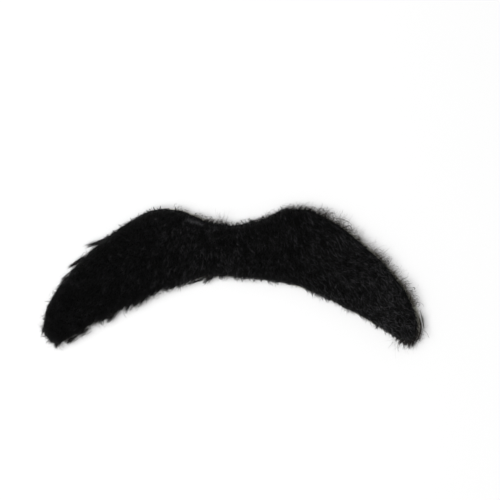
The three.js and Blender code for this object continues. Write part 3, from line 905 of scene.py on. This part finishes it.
def standing_tufts(seed):
    """The tufts of the table: fibres from a short line across each tuft, rooted up to 2.2 back in the
    pile, shorter towards the tuft's sides and drawn together at its tip."""
    rng = np.random.default_rng(seed)
    roots, ways, lengths, pulls = [], [], [], []
    for row in TUFTS:
        n = row["fibres"]
        main = np.array([math.cos(math.radians(row["angle"])), math.sin(math.radians(row["angle"]))])
        across = np.array([-main[1], main[0]])
        splay = rng.normal(0, row["ragged"], n)[:, None]
        where = rng.normal(0, row["width"] / 2.5, n)
        back = rng.uniform(0, 2.2, n)
        root = np.array([row["x"], row["y"]]) + where[:, None] * across - back[:, None] * main
        roots.append(np.concatenate([root, rng.uniform(-0.5, 0.1, n)[:, None]], axis=1))
        ways.append(main * np.cos(splay) + across * np.sin(splay))
        taper = 1 - 0.6 * np.minimum(np.abs(where) / row["width"], 1)
        lengths.append(back + row["length"] * taper * rng.uniform(0.5, 1.0, n))
        pulls.append(-0.85 * where[:, None] * across)
    total = sum(len(part) for part in roots)
    lay_strands(
        "standing_tufts",
        np.concatenate(roots),
        np.concatenate(ways),
        np.concatenate(lengths),
        rng.uniform(0.05, 0.3, total),
        np.clip(rng.normal(0.05, 0.04, total), 0, 1),
        np.concatenate(pulls),
        curl=0.03,
        rings=4,
        seed=seed,
    )


standing_tufts(seed=41)


def loose_fibres(name, spine, radius, brightest, seed):
    """Loose fibres from their points, a little thinner at the tip, in mixed shades up to the brightest.
    The shade is painted light through the fibre: dark over the pile, it comes to full strength over the
    first stretch past the bed's edge."""
    rng = np.random.default_rng(seed)
    count, points = spine.shape[:2]
    spine[..., 2] = np.maximum(spine[..., 2], LOWEST_LOOSE)
    thickness = radius * rng.uniform(0.8, 1.2, count)[:, None] * np.linspace(1, 0.6, points)[None]
    # Painted light shining through the fibre: none over the pile, growing to full over the first stretch
    # past the bed's edge
    clear = np.clip(-inset_of(spine[..., :2]) / PAINTED_LIGHT_FROM, 0, 1)
    shade = brightest * rng.uniform(0.2, 1, count)[:, None] * clear
    return strands(name, spine, thickness, loose_fibre, shade)


def frizz(name, kind, points, loop, turns, radius, brightest, seed):
    """Loose fibres of one kind from the frizz table, gathered in small clumps along the edge. Each
    runs out from the edge, drifts along it and winds in a loop whose radius stays even, so its place
    is the outward run and the drift plus a circle."""
    rng = np.random.default_rng(seed)
    share, side, reach = [], [], []
    for row in FRIZZ:
        n = row[kind]
        clumps = max(2, round((row["end"] - row["start"]) / FRIZZ_CLUMP))
        pick = rng.integers(0, clumps, n)
        even = (pick + rng.uniform(0.1, 0.9, clumps)[pick]) / clumps
        middle = row["start"] + (row["end"] - row["start"]) * even
        share.append(np.clip(middle + rng.normal(0, FRIZZ_CLUMP / 3, n), 0.001, 0.999))
        side.append(np.full(n, float(row["side"])))
        reach.append(row["out"] * rng.uniform(0.7, 1.3, clumps)[pick])
    share, side, reach = (np.concatenate(part) for part in (share, side, reach))
    count = len(share)
    start = edge_column("bed", share, side) - 0.2 + reach * rng.uniform(0, 0.6, count)
    place, out = edge(share, start, side)
    t = np.linspace(0, 1, points)[None]
    run = 0.8 * reach * np.minimum(rng.gamma(1.8, 1 / 1.8, count), 2.4)
    size = rng.uniform(*loop, count) * np.minimum(1, reach / 0.8)
    phase = rng.uniform(0, 2 * np.pi, count)
    swing = 2 * np.pi * (rng.uniform(*turns, count) * rng.choice([-1, 1], count))[:, None] * t
    swing = swing + phase[:, None]
    outwards = run[:, None] * t + size[:, None] * (np.cos(swing) - np.cos(phase)[:, None])
    drift = rng.normal(0, 1.0, count)[:, None] * t
    sideways = drift + size[:, None] * (np.sin(swing) - np.sin(phase)[:, None])
    tangent = np.stack([-out[:, 1], out[:, 0]], axis=1)
    xy = place[:, None] + out[:, None] * outwards[..., None] + tangent[:, None] * sideways[..., None]
    z = PILE_BOTTOM + rng.uniform(0.2, 2.2, count)[:, None] + rng.uniform(-1.2, 0.5, count)[:, None] * t
    loose_fibres(name, np.concatenate([xy, z[..., None]], axis=2), radius, brightest, seed)


def edge_runs(seed):
    """The strands of the runs table: each follows a stretch of the outline, further out or in
    towards its end, and wanders a little by a slow sine."""
    rng = np.random.default_rng(seed)
    spines = []
    t = np.linspace(0, 1, 9)[None]
    for row in RUNS:
        n = row["fibres"]
        span = row["end"] - row["start"]
        first = row["start"] + span * rng.uniform(0, 0.5, n)
        last = np.minimum(first + span * rng.uniform(0.4, 0.8, n), row["end"])
        share = first[:, None] + (last - first)[:, None] * t
        wander = 0.06 * np.sin(rng.uniform(2, 7, n)[:, None] * t + rng.uniform(0, 6, n)[:, None])
        out = row["out"] + (row["out_end"] - row["out"]) * (share - row["start"]) / span
        out = out + rng.normal(0, row["spread"], n)[:, None] + wander
        xy, _ = edge(share, out, row["side"])
        z = rng.uniform(0.5, 2.2, n)[:, None] + 0.2 * wander
        spines.append(np.concatenate([xy, z[..., None]], axis=2))
    loose_fibres("edge_runs", np.concatenate(spines), RUN_RADIUS, 0.4, seed)


def placed_curls(seed):
    """The arcs of the curls table, each of a few fibres a little apart."""
    rng = np.random.default_rng(seed)
    spines = []
    t = np.linspace(0, 1, 14)
    for row in CURLS:
        for _ in range(row["fibres"]):
            first, last = np.radians([row["start"], row["end"]] + rng.normal(0, 8, 2))
            turn = first + (last - first) * t
            radius = row["radius"] + rng.normal(0, 0.04)
            x = row["x"] + rng.normal(0, 0.04) + radius * np.cos(turn)
            y = row["y"] + rng.normal(0, 0.04) + radius * np.sin(turn)
            spines.append(np.stack([x, y, rng.uniform(1.2, 2.4) + 0.3 * t], axis=1))
    loose_fibres("placed_curls", np.array(spines), RUN_RADIUS, 0.06, seed)


loose_fibre = loose_fibre_mat()
frizz(
    "loose_frizz",
    "fibres",
    points=7,
    loop=(0.15, 0.45),
    turns=(0.3, 1.0),
    radius=FINE_RADIUS,
    brightest=1.0,
    seed=53,
)
frizz(
    "loose_curls",
    "curls",
    points=12,
    loop=(0.2, 0.5),
    turns=(0.6, 1.3),
    radius=CURL_RADIUS,
    brightest=0.35,
    seed=54,
)
edge_runs(seed=61)
placed_curls(seed=67)

# The two backing layers keep their solids and get their real finishes
for node, finish in (("adhesive_film", adhesive_mat()), ("release_paper", paper_mat())):
    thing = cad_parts[node]
    thing.data.materials.clear()
    thing.data.materials.append(finish)

# White table, just clear of the backing's underside, and soft light from all sides
TABLE_SIZE = 3
TABLE_GAP = 0.00003
ROOM_LIGHT = 0.255
bpy.ops.mesh.primitive_plane_add(size=TABLE_SIZE, location=(0, 0, -TABLE_GAP))
table = bpy.context.object
table.name = "white_table"
white, tree, out = material("matt_white_card")
paper = add(tree, "ShaderNodeBsdfDiffuse", Color=srgb("#f4f4f4"))
tree.links.new(paper.outputs["BSDF"], out["Surface"])
table.data.materials.append(white)

world = bpy.data.worlds.new("soft_white_room")
bpy.context.scene.world = world
world.use_nodes = True
world.node_tree.nodes["Background"].inputs["Color"].default_value = (1, 1, 1, 1)
world.node_tree.nodes["Background"].inputs["Strength"].default_value = ROOM_LIGHT


def softbox(name, place, size, watts):
    """A square area light at a place, turned to face the origin."""
    lamp = bpy.data.lights.new(name, "AREA")
    lamp.shape = "SQUARE"
    lamp.size = size
    lamp.energy = watts
    thing = bpy.data.objects.new(name, lamp)
    thing.location = place
    thing.rotation_euler = (-Vector(place)).to_track_quat("-Z", "Y").to_euler()
    bpy.context.collection.objects.link(thing)


softbox("key_left", place=(-0.47, -0.06, 1.1), size=1.0, watts=16.8)

scene = bpy.context.scene
scene.view_settings.view_transform = "Standard"

# The camera looks straight down from well above: the middle and width of what it sees, at the level
# of the pile's edge, and its height above that
VIEW_CENTRE = (3.97, 0.12)
VIEW_WIDTH = 116.9
VIEW_LEVEL = 2
CAMERA_HEIGHT = 600.0
SENSOR_WIDTH = 36
camera = bpy.data.cameras.new("overhead_camera")
camera.sensor_width = SENSOR_WIDTH
camera.lens = SENSOR_WIDTH * CAMERA_HEIGHT / VIEW_WIDTH
camera.clip_start = 0.01
camera.clip_end = 20
holder = bpy.data.objects.new("overhead_camera", camera)
holder.location = (VIEW_CENTRE[0] * MM, VIEW_CENTRE[1] * MM, (CAMERA_HEIGHT + VIEW_LEVEL) * MM)
bpy.context.collection.objects.link(holder)
scene.camera = holder
